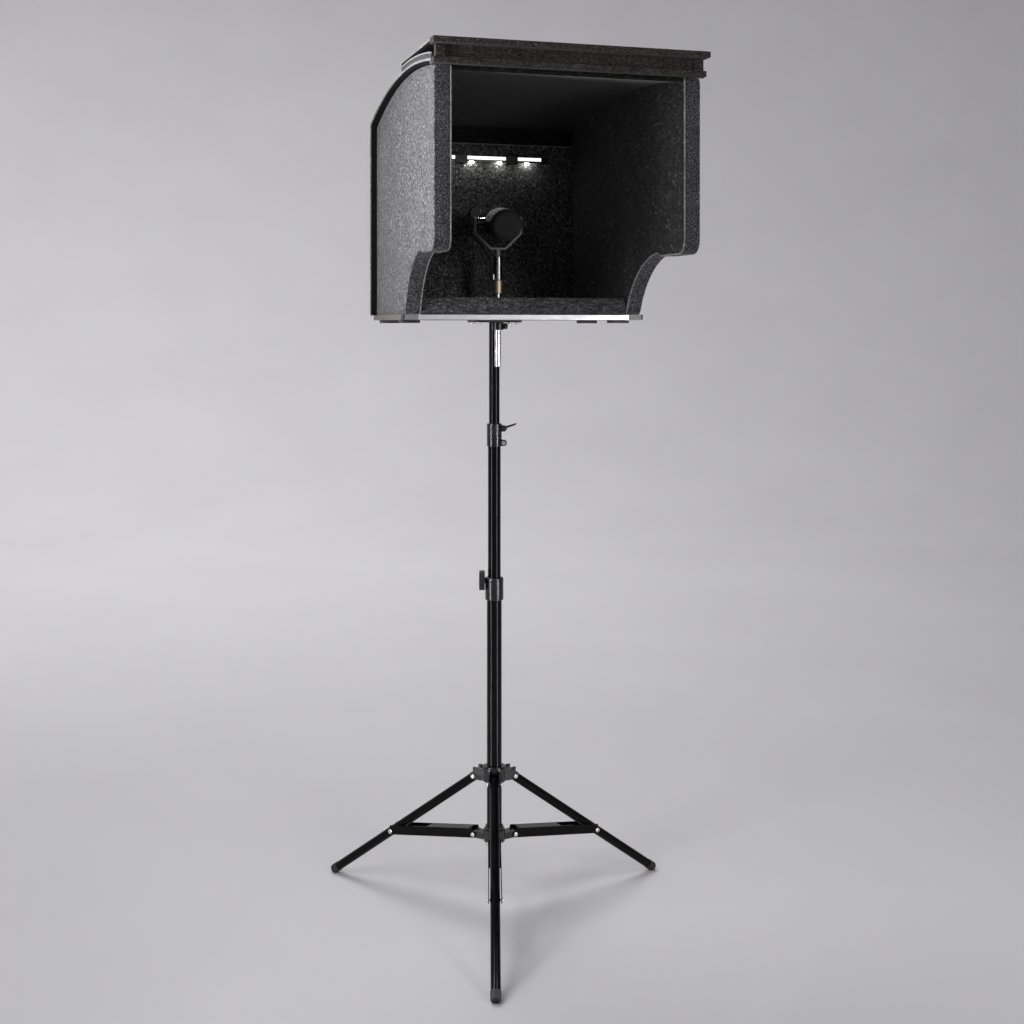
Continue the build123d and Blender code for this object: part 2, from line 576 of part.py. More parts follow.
# ---- Light bar -------------------------------------------------------------
def light_bar():
    low, high = LIGHT_Z - LIGHT_HEIGHT / 2, LIGHT_Z + LIGHT_HEIGHT / 2
    front, rear = LIGHT_Y
    housing = block((-LIGHT_HALF, LIGHT_HALF), (front + 3, rear), (low, high))
    save("light_housing", housing)
    lit, left = [], -LIGHT_HALF
    for x in (-CLIP_X, CLIP_X, None):
        right = LIGHT_HALF if x is None else x - CLIP_W / 2
        lit.append(block((left, right), (front, front + 3), (low, high)))
        left = None if x is None else x + CLIP_W / 2
    save("light_diffuser", group(lit))
    lenses = []
    for k in (-1.5, -0.5, 0.5, 1.5):
        lens = Pos(k * LED_SPACING, front + 7, low) * spindle(3.2, -3.4, 3.4, "x")
        lenses.append(lens & block((-200, 200), (front, rear), (low - 9, low)))
    save("light_lenses", group(lenses))
    caps, clips = [], []
    for side in (-1, 1):
        x = sorted((side * LIGHT_HALF, side * (LIGHT_HALF + 4)))
        cap = block(x, (front - 0.5, rear), (low - 0.8, high + 0.8))
        if side > 0:
            cap = block((LIGHT_HALF, LIGHT_HALF + 14), (front - 0.5, rear), (low - 0.8, high + 0.8))
            cap = cap - post(2.6, low - 2, low + 4, LIGHT_HALF + 8, (front + rear) / 2)
        caps.append(cap)
        x = (side * CLIP_X - CLIP_W / 2, side * CLIP_X + CLIP_W / 2)
        clip = block(x, (front - 1.5, rear), (low - 3.5, high + 3.5))
        clip = clip - block((-200, 200), (front + 3, rear + 1), (low, high))
        clips.append(fillet(clip.edges().filter_by(Axis.X).group_by(Axis.Y)[0], 1.5))
    save("light_clips", group([*clips, *caps]))
    button = post(2.5, low - 1.8, low + 2.2, LIGHT_HALF + 8, (front + rear) / 2)
    save("light_button", fillet(button.edges().sort_by(Axis.Z)[0], 0.6))


# ---- Microphone --------------------------------------------------------------
def at_pivot(shape, tilt):
    """Places a piece drawn round the mic's pivot, facing -Y."""
    return Pos(0, ROD_Y, MIC_PIVOT_Z) * Rot(0, 0, MIC_YAW) * Rot(tilt, 0, 0) * shape


def turned(points):
    """Revolves (radius, y) points about the Y axis."""
    face = Plane.XY * Polygon(*points, align=None)
    return revolve(face, Axis.Y)


def microphone():
    body = turned([(0, -40), (19, -40), (19, -34), (MIC_BODY_R, -31), (MIC_BODY_R, 48), (21, 54), (0, 54)])
    body = body - turned([(0, -41), (16, -41), (16, 44), (0, 44)])
    for side in (-1, 1):
        boss = spindle(8.0, *sorted((side * 20, side * (YOKE_HALF - YOKE_T / 2 - 0.2))), "x")
        body = body + boss - spindle(3.06, *sorted((side * 26, side * 60)), "x")
    save("mic_body", at_pivot(body, MIC_TILT))
    cap = turned([(0, 54.1), (20, 54.1), (20, 62), (17, 66), (0, 66)])
    save("mic_rear_cap", at_pivot(cap, MIC_TILT))
    grille = turned([(0, -118), (16, -118), (GRILLE_R, -110), (GRILLE_R, -40.1), (0, -40.1)])
    grille = grille - turned([(0, -116), (15, -116), (GRILLE_R - 2, -109), (GRILLE_R - 2, -39), (0, -39)])
    save("mic_grille", at_pivot(grille, MIC_TILT))
    capsule = turned([(0, -104), (14, -104), (15.5, -100), (15.5, 30), (0, 30)])
    save("mic_capsule", at_pivot(capsule, MIC_TILT))
    front, rear = FOAM_Y
    foam = turned([(0, front), (FOAM_FACE_R, front), (FOAM_R, front + 9), (FOAM_R, rear), (0, rear)])
    rim = [e for e in foam.edges() if e.geom_type == GeomType.CIRCLE and e.center().Y < front + 12]
    foam = fillet(rim, 3.0)
    inner = GRILLE_R + 0.3
    foam = foam - turned([(0, -118.3), (16.3, -118.3), (inner, -110), (inner, rear + 9), (0, rear + 9)])
    save("mic_foam", at_pivot(foam, MIC_TILT))


def yoke():
    bar = YOKE_BAR_Z - MIC_PIVOT_Z
    bend = bar + YOKE_HALF - YOKE_BAR_HALF
    path = Polyline((-YOKE_HALF, 8), (-YOKE_HALF, bend), (-YOKE_BAR_HALF, bar), (YOKE_BAR_HALF, bar),
                    (YOKE_HALF, bend), (YOKE_HALF, 8))
    outline = make_face(offset(path, YOKE_T / 2, kind=Kind.INTERSECTION, side=Side.BOTH).edges())
    strap = Pos(0, YOKE_DEPTH / 2, 0) * extrude(Plane.XZ * outline, YOKE_DEPTH, dir=(0, -1, 0))
    strap = strap - spindle(3.06, -60, 60, "x")
    stud = post(5.0, STEM_Z[1] - MIC_PIVOT_Z - 10, bar)
    save("yoke", at_pivot(strap + stud, 0))
    reach = YOKE_HALF + YOKE_T / 2 + 0.15
    for name, side in (("yoke_knob_left", 180), ("yoke_knob_right", 0)):
        knob = Pos(reach, 0, 0) * ribbed_knob(KNOB_R, 8.5, 10, 1.3) + spindle(3.0, 27, reach + 1, "x")
        save(name, at_pivot(Rot(0, 0, side) * knob, 0))


def connector():
    barrel = Pos(-40, 0, 18) * spindle(12.8, 10.2, 40, "y")
    barrel = fillet(barrel.edges().sort_by(Axis.Y)[0], 3.0)
    barrel = barrel - Pos(-40, 0, 18) * spindle(9.5, 24, 41, "y")
    foot = block((-45, -41), (YOKE_DEPTH / 2 + 0.05, 17), (-6, 8))
    save("connector_barrel", at_pivot(barrel + foot, 0))


def stem():
    low, high = STEM_Z
    adapter = fillet(post(STEM_R, low, high, 0, ROD_Y).edges(), 0.8)
    adapter = adapter - post(ROD_R + 0.02, low - 1, ROD_Z[1] - 10, 0, ROD_Y)
    adapter = adapter - post(5.02, ROD_Z[1] - 12, high + 1, 0, ROD_Y)
    collar = fillet(post(9.2, *COLLAR_Z, 0, ROD_Y).edges(), 0.8)
    save("brass_collar", collar - post(ROD_R + 0.02, COLLAR_Z[0] - 1, COLLAR_Z[1] + 1, 0, ROD_Y))
    save("mic_rod", ring(ROD_R, ROD_R - 1.2, ROD_Z[0], ROD_Z[1] - 10.1, 0, ROD_Y))
    gland = block((-15.2, -STEM_R + 1.5), (ROD_Y - 4, ROD_Y + 4), (1187, GLAND_TOP))
    gland = fillet(gland.edges().filter_by(Axis.Z), 1.4) - post(STEM_R - 1, low - 1, high + 1, 0, ROD_Y)
    save("stem_adapter", adapter + gland)


LEAD_R = 2.25
GLAND_TOP = 1196.0
PLUG_REACH = (26.0, 48.0, 56.0)                # plug's front, shoulder and boot end, from the pivot
LEAD_POINTS = [
    (-31.4, 37.2, 1312.0),
    (-29.8, 48.0, 1311.2),
    (-29.5, 56.5, 1303.0),
    (-30.0, 56.0, 1291.0),
    (-31.0, 46.5, 1282.0),
    (-32.5, 30.0, 1274.0),
    (-33.0, 10.0, 1264.0),
    (-30.0, -8.0, 1253.0),
    (-22.0, -20.0, 1240.0),
    (-13.5, -24.0, 1226.0),
    (-11.7, -24.0, 1210.0),
    (-11.7, -24.0, GLAND_TOP),
]


def bend_radii(points):
    """For each corner, 0.45 of its shorter run over the tangent of half its turn."""
    radii = []
    for before, here, after in zip(points, points[1:], points[2:]):
        a = Vector(*here) - Vector(*before)
        b = Vector(*after) - Vector(*here)
        turn = math.radians(a.get_angle(b))
        radii.append(0.45 * min(a.length, b.length) / math.tan(turn / 2))
    return radii


def mic_lead():
    radii = bend_radii(LEAD_POINTS)
    path = FilletPolyline(*LEAD_POINTS, radius=radii)
    start = Plane(origin=path @ 0, z_dir=path % 0)
    lead = sweep(start * Circle(LEAD_R), path=path)
    print("lead radii", [round(r, 1) for r in radii], "length", round(path.length, 1))
    print("lead volume", round(lead.volume, 1), round(math.pi * LEAD_R ** 2 * path.length, 1))
    front, shoulder, end = PLUG_REACH
    plug = Pos(-40, 0, 18) * (spindle(9.3, front, shoulder, "y") + spindle(4.6, shoulder, end, "y"))
    save("mic_lead", group([lead, at_pivot(plug, 0)]))


tubes()
tube_end_plug()
lower_collar()
lower_knob()
upper_collar()
upper_lever()
crown()
crown_knob()
pivot_rivets()
spreader()
legs()
swivel_spigot()
side_panels()
outer_skin()
ceiling_liner()
back_panel()
floor_pad()
top_flap()
roof_pad()
front_rail()
rail_end_blocks()
base()
mount_plate()
rod_clamp()
rubber_pads()
light_bar()
microphone()
yoke()
connector()
stem()
mic_lead()
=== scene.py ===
"""Looks of a portable felt vocal booth on a folding light stand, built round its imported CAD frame."""

import json
import math

import bmesh
import bpy
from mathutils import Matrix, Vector, noise


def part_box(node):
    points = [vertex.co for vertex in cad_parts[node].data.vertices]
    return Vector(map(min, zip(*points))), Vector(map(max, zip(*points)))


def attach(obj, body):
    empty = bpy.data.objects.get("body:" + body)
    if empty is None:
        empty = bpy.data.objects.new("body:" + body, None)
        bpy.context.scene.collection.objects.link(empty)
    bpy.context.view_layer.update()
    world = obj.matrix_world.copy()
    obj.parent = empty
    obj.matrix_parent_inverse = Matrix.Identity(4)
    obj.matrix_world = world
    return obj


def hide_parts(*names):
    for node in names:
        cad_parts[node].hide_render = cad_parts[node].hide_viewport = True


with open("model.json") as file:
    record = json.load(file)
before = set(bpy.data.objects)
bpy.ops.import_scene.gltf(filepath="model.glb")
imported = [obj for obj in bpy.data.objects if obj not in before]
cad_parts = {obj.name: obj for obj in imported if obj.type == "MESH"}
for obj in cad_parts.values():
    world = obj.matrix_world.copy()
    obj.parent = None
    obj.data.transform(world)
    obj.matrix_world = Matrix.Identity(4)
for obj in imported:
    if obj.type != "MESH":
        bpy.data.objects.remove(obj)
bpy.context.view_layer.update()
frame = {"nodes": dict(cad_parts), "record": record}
CAD_NODES = frame["nodes"]

MM = 0.001
BOOTH = "booth"


# ---- Camera ----------------------------------------------------------------
CAMERA_PLACE = (-0.7138, -2.5435, 1.101)
CAMERA_YAW = -16.4
CAMERA_LENS = 49.22
CAMERA_SHIFT = -0.1823


def make_camera():
    data = bpy.data.cameras.new("camera")
    data.sensor_width = 36.0
    data.lens = CAMERA_LENS
    data.shift_y = CAMERA_SHIFT
    camera = bpy.data.objects.new("camera", data)
    camera.location = CAMERA_PLACE
    camera.rotation_euler = (math.radians(90), 0, math.radians(CAMERA_YAW))
    bpy.context.scene.collection.objects.link(camera)
    bpy.context.scene.camera = camera


# ---- Materials: helpers ------------------------------------------------------
def material(name):
    made = bpy.data.materials.new(name)
    made.use_nodes = True
    return made, made.node_tree, made.node_tree.nodes["Principled BSDF"]


def add(tree, kind, inputs=None, **settings):
    """Adds a node. An input's value is a number, a tuple, or another node's output."""
    made = tree.nodes.new(kind)
    for name, value in settings.items():
        setattr(made, name, value)
    for name, value in (inputs or {}).items():
        if isinstance(value, bpy.types.NodeSocket):
            tree.links.new(value, made.inputs[name])
        else:
            made.inputs[name].default_value = value
    return made


def coordinates(tree, stretch=(1, 1, 1)):
    place = add(tree, "ShaderNodeTexCoord").outputs["Object"]
    return add(tree, "ShaderNodeMapping", {"Vector": place, "Scale": stretch}).outputs["Vector"]


def noise_value(tree, vector, scale, detail=2.0, rough=0.5):
    inputs = {"Vector": vector, "Scale": scale, "Detail": detail, "Roughness": rough}
    return add(tree, "ShaderNodeTexNoise", inputs).outputs["Fac"]


def cell_distance(tree, vector, scale, feature):
    inputs = {"Vector": vector, "Scale": scale}
    return add(tree, "ShaderNodeTexVoronoi", inputs, feature=feature).outputs["Distance"]


def spread(tree, value, low, high, to_low=0.0, to_high=1.0):
    """Maps a value's low..high to to_low..to_high, clamped."""
    inputs = {"Value": value, "From Min": low, "From Max": high, "To Min": to_low, "To Max": to_high}
    return add(tree, "ShaderNodeMapRange", inputs).outputs["Result"]


def blend_colours(tree, share, first, second, mode="MIX"):
    made = add(tree, "ShaderNodeMix", data_type="RGBA", blend_type=mode)
    for slot, value in ((0, share), (6, first), (7, second)):
        if isinstance(value, bpy.types.NodeSocket):
            tree.links.new(value, made.inputs[slot])
        elif slot == 0:
            made.inputs[slot].default_value = value
        else:
            made.inputs[slot].default_value = (*value, 1.0)
    return made.outputs[2]


def combine(tree, operation, first, second):
    made = add(tree, "ShaderNodeMath", operation=operation)
    for slot, value in ((0, first), (1, second)):
        if isinstance(value, bpy.types.NodeSocket):
            tree.links.new(value, made.inputs[slot])
        else:
            made.inputs[slot].default_value = value
    return made.outputs[0]


def weighted(tree, first, first_share, second, second_share):
    """The sum of two values, each times its share."""
    scaled = [combine(tree, "MULTIPLY", v, w) for v, w in ((first, first_share), (second, second_share))]
    return combine(tree, "ADD", *scaled)


def bumped(tree, shader, height, distance, strength=1.0, rounded=0.0):
    inputs = {"Height": height, "Distance": distance, "Strength": strength}
    if rounded:
        inputs["Normal"] = add(tree, "ShaderNodeBevel", {"Radius": rounded}).outputs["Normal"]
    normal = add(tree, "ShaderNodeBump", inputs).outputs["Normal"]
    tree.links.new(normal, shader.inputs["Normal"])


# ---- Materials: felt, foam and rubber -------------------------------------------
def felt(name, dark, light, fleck, grain=(1.0, 1.0, 1.0), sheen=0.2, depth=0.6 * MM, size=250.0):
    """Pressed heather felt: clumps of dark and pale fibres lying mostly along the grain."""
    made, tree, shader = material(name)
    along = coordinates(tree, grain)
    even = coordinates(tree)
    clumps = noise_value(tree, along, size, 3.0, 0.7)
    fibres = noise_value(tree, along, 2.6 * size, 3.0, 0.7)
    cloud = noise_value(tree, even, 18.0, 3.0, 0.55)
    hairs = noise_value(tree, even, 6.0 * size, 2.0, 0.6)
    share = weighted(tree, clumps, 0.6, fibres, 0.4)
    body = blend_colours(tree, spread(tree, share, 0.42, 0.59), dark, light)
    pale = spread(tree, noise_value(tree, along, 1.4 * size, 2.0, 0.7), 0.60, 0.68)
    body = blend_colours(tree, pale, body, fleck)
    shade = spread(tree, cloud, 0.3, 0.7, 0.84, 1.14)
    grey = add(tree, "ShaderNodeCombineColor", {c: shade for c in ("Red", "Green", "Blue")}).outputs[0]
    body = blend_colours(tree, 1.0, body, grey, "MULTIPLY")
    tree.links.new(body, shader.inputs["Base Color"])
    tree.links.new(spread(tree, fibres, 0.3, 0.7, 0.84, 0.98), shader.inputs["Roughness"])
    shader.inputs["Specular IOR Level"].default_value = 0.12
    shader.inputs["Sheen Weight"].default_value = sheen
    shader.inputs["Sheen Roughness"].default_value = 0.45
    height = weighted(tree, clumps, 0.7, hairs, 0.3)
    bumped(tree, shader, height, depth, 0.8)
    return made


def foam(name, tone):
    """Open-cell windscreen foam: pores of about a millimetre with soft rims, the pore hollows painted
    darker as painted shade.
    """
    made, tree, shader = material(name)
    place = coordinates(tree)
    cells = cell_distance(tree, place, 750.0, "F1")
    pores = spread(tree, cells, 0.1, 0.55)
    wide = noise_value(tree, place, 60.0)
    # Pore hollows darker: painted shade.
    body = blend_colours(tree, pores, [0.35 * t for t in tone], tone)
    body = blend_colours(tree, spread(tree, wide, 0.35, 0.65, 0.0, 0.3), body, [1.5 * t for t in tone])
    tree.links.new(body, shader.inputs["Base Color"])
    shader.inputs["Roughness"].default_value = 0.95
    shader.inputs["Specular IOR Level"].default_value = 0.2
    bumped(tree, shader, pores, 0.4 * MM)
    return made


def rubber(name, tone):
    made, tree, shader = material(name)
    place = coordinates(tree)
    dust = noise_value(tree, place, 90.0, 4.0, 0.7)
    grain = noise_value(tree, place, 2200.0)
    body = blend_colours(tree, spread(tree, dust, 0.45, 0.75, 0.0, 0.5), tone, [2.2 * t for t in tone])
    tree.links.new(body, shader.inputs["Base Color"])
    tree.links.new(spread(tree, dust, 0.3, 0.7, 0.55, 0.8), shader.inputs["Roughness"])
    bumped(tree, shader, grain, 0.08 * MM)
    return made


# ---- Materials: plastics and metals ------------------------------------------------
def worn_and_highlit_edges(tree, body, worn, amount):
    """Blends towards a paler colour where the surface turns sharply outwards: partly edge wear, partly a
    painted highlight.
    """
    bend = add(tree, "ShaderNodeNewGeometry").outputs["Pointiness"]
    share = spread(tree, bend, 0.52, 0.60, 0.0, amount)
    return blend_colours(tree, share, body, worn)


def plastic(name, tone, roughness=0.38, shine=0.3):
    """Moulded plastic with a fine spark-eroded grain and slightly polished edges, painted paler there:
    partly wear, partly a painted highlight.
    """
    made, tree, shader = material(name)
    place = coordinates(tree)
    texture = noise_value(tree, place, 1400.0, 2.0, 0.6)
    smears = noise_value(tree, place, 35.0, 4.0, 0.6)
    body = blend_colours(tree, spread(tree, smears, 0.4, 0.7, 0.0, 0.35), tone, [1.6 * t for t in tone])
    # Paler convex edges: partly wear, partly a painted highlight.
    body = worn_and_highlit_edges(tree, body, [3.0 * t for t in tone], 0.6)
    tree.links.new(body, shader.inputs["Base Color"])
    rough = spread(tree, smears, 0.3, 0.7, roughness - 0.06, roughness + 0.1)
    tree.links.new(rough, shader.inputs["Roughness"])
    shader.inputs["Specular IOR Level"].default_value = shine
    bumped(tree, shader, texture, 0.06 * MM, rounded=0.6 * MM)
    return made


def paint(name, tone, roughness=0.24, peel=0.05 * MM, shine=0.3):
    """Black powder coat: slight orange peel, faint rub marks along the length, thin edges."""
    made, tree, shader = material(name)
    place = coordinates(tree)
    skin = noise_value(tree, place, 700.0, 2.0, 0.5)
    rubs = noise_value(tree, coordinates(tree, (1, 1, 0.05)), 500.0, 3.0, 0.7)
    dust = noise_value(tree, place, 40.0, 5.0, 0.65)
    body = blend_colours(tree, spread(tree, dust, 0.5, 0.8, 0.0, 0.3), tone, [2.5 * t for t in tone])
    tree.links.new(body, shader.inputs["Base Color"])
    rubbed = spread(tree, rubs, 0.4, 0.75, 0.0, 0.12)
    dusty = spread(tree, dust, 0.3, 0.7, roughness - 0.03, roughness + 0.05)
    tree.links.new(combine(tree, "ADD", rubbed, dusty), shader.inputs["Roughness"])
    shader.inputs["Specular IOR Level"].default_value = shine
    bumped(tree, shader, skin, peel, rounded=0.8 * MM)
    return made


def metal(name, tone, roughness=0.25, brush=(1, 1, 1), scratches=0.15, depth=0.02 * MM):
    """Bare metal, brushed along one axis, with faint stains."""
    made, tree, shader = material(name)
    lines = noise_value(tree, coordinates(tree, brush), 900.0, 3.0, 0.7)
    stains = noise_value(tree, coordinates(tree), 55.0, 4.0, 0.6)
    stained, scratched = [0.72 * t for t in tone], [min(1.0, 1.3 * t) for t in tone]
    body = blend_colours(tree, spread(tree, stains, 0.45, 0.75, 0.0, 0.35), tone, stained)
    body = blend_colours(tree, spread(tree, lines, 0.5, 0.75, 0.0, scratches), body, scratched)
    tree.links.new(body, shader.inputs["Base Color"])
    shader.inputs["Metallic"].default_value = 1.0
    brushed = spread(tree, lines, 0.35, 0.7, 0.0, 0.12)
    worn = spread(tree, stains, 0.3, 0.7, roughness - 0.04, roughness + 0.06)
    tree.links.new(combine(tree, "ADD", brushed, worn), shader.inputs["Roughness"])
    bumped(tree, shader, lines, depth)
    return made


def mesh_wire(name, tone):
    made, tree, shader = material(name)
    place = coordinates(tree)
    holes = cell_distance(tree, place, 900.0, "DISTANCE_TO_EDGE")
    wires = spread(tree, holes, 0.05, 0.18, 1.0, 0.0)
    # The holes between the wires are painted dark: painted shade.
    tree.links.new(blend_colours(tree, wires, [0.2 * t for t in tone], tone), shader.inputs["Base Color"])
    shader.inputs["Metallic"].default_value = 0.8
    shader.inputs["Roughness"].default_value = 0.4
    bumped(tree, shader, wires, 0.3 * MM)
    return made


def glow(name, tone, strength, cell):
    """A lit diffuser whose colour and glow vary a little in a fine frosted pattern."""
    made, tree, shader = material(name)
    place = coordinates(tree)
    frost = noise_value(tree, place, cell, 2.0, 0.6)
    body = blend_colours(tree, spread(tree, frost, 0.35, 0.65, 0.0, 0.3), tone, [0.9 * t for t in tone])
    tree.links.new(body, shader.inputs["Base Color"])
    shader.inputs["Emission Color"].default_value = (*tone, 1.0)
    power = spread(tree, frost, 0.3, 0.7, 0.8 * strength, 1.15 * strength)
    tree.links.new(power, shader.inputs["Emission Strength"])
    shader.inputs["Roughness"].default_value = 0.3
    return made


def along_axis(tree, axis):
    return add(tree, "ShaderNodeSeparateXYZ", {"Vector": coordinates(tree)}).outputs[axis]


def light_strip(name, tone, strength):
    """A lit diffuser whose upper part glows; its lower part, above the lenses, stays dark."""
    made = glow(name, tone, strength, 300.0)
    tree = made.node_tree
    shader = tree.nodes["Principled BSDF"]
    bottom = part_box("light_diffuser")[0].z
    lit = spread(tree, along_axis(tree, "Z"), bottom + 3.2 * MM, bottom + 4.2 * MM)
    power = shader.inputs["Emission Strength"].links[0].from_socket
    tree.links.new(combine(tree, "MULTIPLY", power, lit), shader.inputs["Emission Strength"])
    body = shader.inputs["Base Color"].links[0].from_socket
    tree.links.new(blend_colours(tree, lit, (0.02, 0.02, 0.02), body), shader.inputs["Base Color"])
    return made


def trim_bar(made):
    """Dulls the two plastic corner pieces at the ends of the bright trim bar."""
    tree = made.node_tree
    shader = tree.nodes["Principled BSDF"]
    across = along_axis(tree, "X")
    low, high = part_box("base_trim")
    corner, blur = 24 * MM, 0.2 * MM
    left = spread(tree, across, low.x + corner - blur, low.x + corner + blur)
    right = spread(tree, across, high.x - corner - blur, high.x - corner + blur, 1.0, 0.0)
    bare = combine(tree, "MULTIPLY", left, right)
    body = shader.inputs["Base Color"].links[0].from_socket
    tree.links.new(blend_colours(tree, bare, (0.16, 0.16, 0.165), body), shader.inputs["Base Color"])
    tree.links.new(bare, shader.inputs["Metallic"])
    return made


GLAND_X, STEM_X = -9.9 * MM, -9.2 * MM


def stem(made):
    """Blackens the gland that stands out of the stem's side, and leaves the stem bare."""
    tree = made.node_tree
    shader = tree.nodes["Principled BSDF"]
    across = along_axis(tree, "X")
    bare = spread(tree, across, GLAND_X, STEM_X)
    body = shader.inputs["Base Color"].links[0].from_socket
    tree.links.new(blend_colours(tree, bare, (0.012, 0.012, 0.012), body), shader.inputs["Base Color"])
    tree.links.new(bare, shader.inputs["Metallic"])
    rough = shader.inputs["Roughness"].links[0].from_socket
    rough = combine(tree, "MAXIMUM", rough, spread(tree, across, GLAND_X, STEM_X, 0.7, 0.0))
    tree.links.new(rough, shader.inputs["Roughness"])
    return made


# ---- Mesh helpers --------------------------------------------------------------
def new_object(name, mesh, finish):
    made = bpy.data.objects.new(name, mesh)
    bpy.context.scene.collection.objects.link(made)
    mesh.materials.clear()
    mesh.materials.append(finish)
    return made


def evaluated_mesh(piece):
    bpy.context.view_layer.update()
    graph = bpy.context.evaluated_depsgraph_get()
    return bpy.data.meshes.new_from_object(piece.evaluated_get(graph))


def welded(node):
    """A CAD node's mesh with its vertices joined and its flat faces whole."""
    shape = bmesh.new()
    shape.from_mesh(CAD_NODES[node].data)
    bmesh.ops.remove_doubles(shape, verts=shape.verts, dist=0.01 * MM)
    bmesh.ops.dissolve_limit(shape, angle_limit=math.radians(0.6), verts=shape.verts, edges=shape.edges)
    return shape


def sharp_edges(shape, angle):
    limit = math.radians(angle)
    return [e for e in shape.edges if e.is_manifold and e.calc_face_angle() > limit]


def cut_grid(shape, axis, step, low, high):
    """Cuts the mesh by parallel planes, so that its flat faces have vertices to move."""
    normal = [0.0, 0.0, 0.0]
    normal[axis] = 1.0
    count = int((high - low) / step)
    for k in range(1, count + 1):
        place = [0.0, 0.0, 0.0]
        place[axis] = low + k * (high - low) / (count + 1)
        whole = shape.verts[:] + shape.edges[:] + shape.faces[:]
        bmesh.ops.bisect_plane(shape, geom=whole, dist=0.01 * MM, plane_co=place, plane_no=normal)


RIPPLE = 0.35 * MM
SHARP = 40


def soft_board(node, name, finish, edge=3 * MM, cell=22 * MM, axes=(1, 2)):
    """A felt board in a CAD solid's place: rolled edges and a gently uneven face."""
    shape = welded(node)
    bmesh.ops.bevel(shape, geom=sharp_edges(shape, SHARP), offset=edge, offset_type="OFFSET", segments=4,
                    profile=0.5, affect="EDGES", clamp_overlap=True)
    low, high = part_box(node)
    for axis in axes:
        cut_grid(shape, axis, cell, low[axis], high[axis])
    shape.normal_update()
    for vertex in shape.verts:
        lump = noise.noise(vertex.co * 26.0) * 0.6 + noise.noise(vertex.co * 75.0) * 0.4
        vertex.co += vertex.normal * (lump * RIPPLE - RIPPLE * 0.5)
    mesh = bpy.data.meshes.new(name)
    shape.to_mesh(mesh)
    shape.free()
    made = new_object(name, mesh, finish)
    shade(made, 50)
    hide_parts(node)
    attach(made, BOOTH)
    return made


def shade(piece, angle=35):
    """Smooth shading, kept sharp where faces meet at more than the angle."""
    for face in piece.data.polygons:
        face.use_smooth = True
    piece.data.set_sharp_from_angle(angle=math.radians(angle))


def tube_along(name, points, radius, finish, body):
    """A round bead along points, as a mesh."""
    data = bpy.data.curves.new(name, "CURVE")
    data.dimensions = "3D"
    data.bevel_depth = radius
    data.bevel_resolution = 4
    data.use_fill_caps = True
    line = data.splines.new("POLY")
    line.points.add(len(points) - 1)
    for point, place in zip(line.points, points):
        point.co = (*place, 1.0)
    curve = bpy.data.objects.new(name + "_curve", data)
    bpy.context.scene.collection.objects.link(curve)
    mesh = evaluated_mesh(curve)
    bpy.data.objects.remove(curve)
    mesh.name = name
    made = new_object(name, mesh, finish)
    shade(made, 60)
    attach(made, body)
    return made


def chained(edges):
    """Orders edges that share ends into the longest run of vertices."""
    left = {e.index: e for e in edges}
    best = []
    while left:
        first = left.pop(next(iter(left)))
        chain = [first.verts[0], first.verts[1]]
        grew = True
        while grew:
            grew = False
            for tip, place in ((chain[-1], len(chain)), (chain[0], 0)):
                found = next((e for e in tip.link_edges if e.index in left), None)
                if found is not None:
                    chain.insert(place, left.pop(found.index).other_vert(tip))
                    grew = True
        if length_of(chain) > length_of(best):
            best = chain
    return best


def length_of(chain):
    return sum((b.co - a.co).length for a, b in zip(chain, chain[1:]))


def seam_line(node, test, depth):
    """Points along a node's longest run of sharp edges that pass a test, set a little into the corner."""
    shape = welded(node)
    shape.edges.index_update()
    shape.normal_update()
    found = [e for e in sharp_edges(shape, SHARP) if test(e)]
    points = [v.co - v.normal * depth for v in chained(found)]
    shape.free()
    return resampled(points, 8 * MM)


def middle(edge):
    return (edge.verts[0].co + edge.verts[1].co) / 2


def faces_both(edge, first, second):
    """True if one of an edge's faces looks along each of two directions."""
    looks = [any(face.normal.dot(Vector(way)) > 0.7 for face in edge.link_faces) for way in (first, second)]
    return all(looks)


def resampled(points, step):
    """Points at an even step along a line, with its two ends kept."""
    lengths = [0.0]
    for a, b in zip(points, points[1:]):
        lengths.append(lengths[-1] + (b - a).length)
    count = max(2, round(lengths[-1] / step))
    made, k = [], 0
    for i in range(count + 1):
        at = lengths[-1] * i / count
        while k < len(points) - 2 and lengths[k + 1] < at:
            k += 1
        span = max(lengths[k + 1] - lengths[k], 1e-9)
        made.append(points[k].lerp(points[k + 1], min(1.0, (at - lengths[k]) / span)))
    return made


def refinish(piece, finish, test):
    """Gives the faces that pass a test on their centre and normal another finish."""
    piece.data.materials.append(finish)
    index = len(piece.data.materials) - 1
    for face in piece.data.polygons:
        if test(face.center, face.normal):
            face.material_index = index


# ---- Finishes ------------------------------------------------------------------
ALONG_Y, ALONG_X, SLANTED = (1.0, 0.35, 1.0), (0.4, 1.0, 1.0), (1.0, 0.32, 0.62)

felt_side = felt(
    "felt_side", (0.009, 0.009, 0.010), (0.160, 0.159, 0.164), (0.40, 0.40, 0.41), SLANTED, size=340.0)
# The front faces' felt is a darker copy of the side felt: painted shade.
felt_front_painted_shade = felt(
    "felt_front_painted_shade", (0.012, 0.012, 0.014), (0.100, 0.096, 0.109), (0.29, 0.28, 0.31), ALONG_Y, size=300.0)
# The inner faces' felt is a near-black copy of the side felt: painted shade for the dark inside of the
# booth.
felt_inner_painted_shade = felt(
    "felt_inner_painted_shade", (0.001, 0.001, 0.001), (0.029, 0.029, 0.030), (0.125, 0.125, 0.129), SLANTED, size=210.0)
felt_wall = felt(
    "felt_wall", (0.006, 0.006, 0.007), (0.130, 0.130, 0.134), (0.38, 0.38, 0.39), size=200.0)
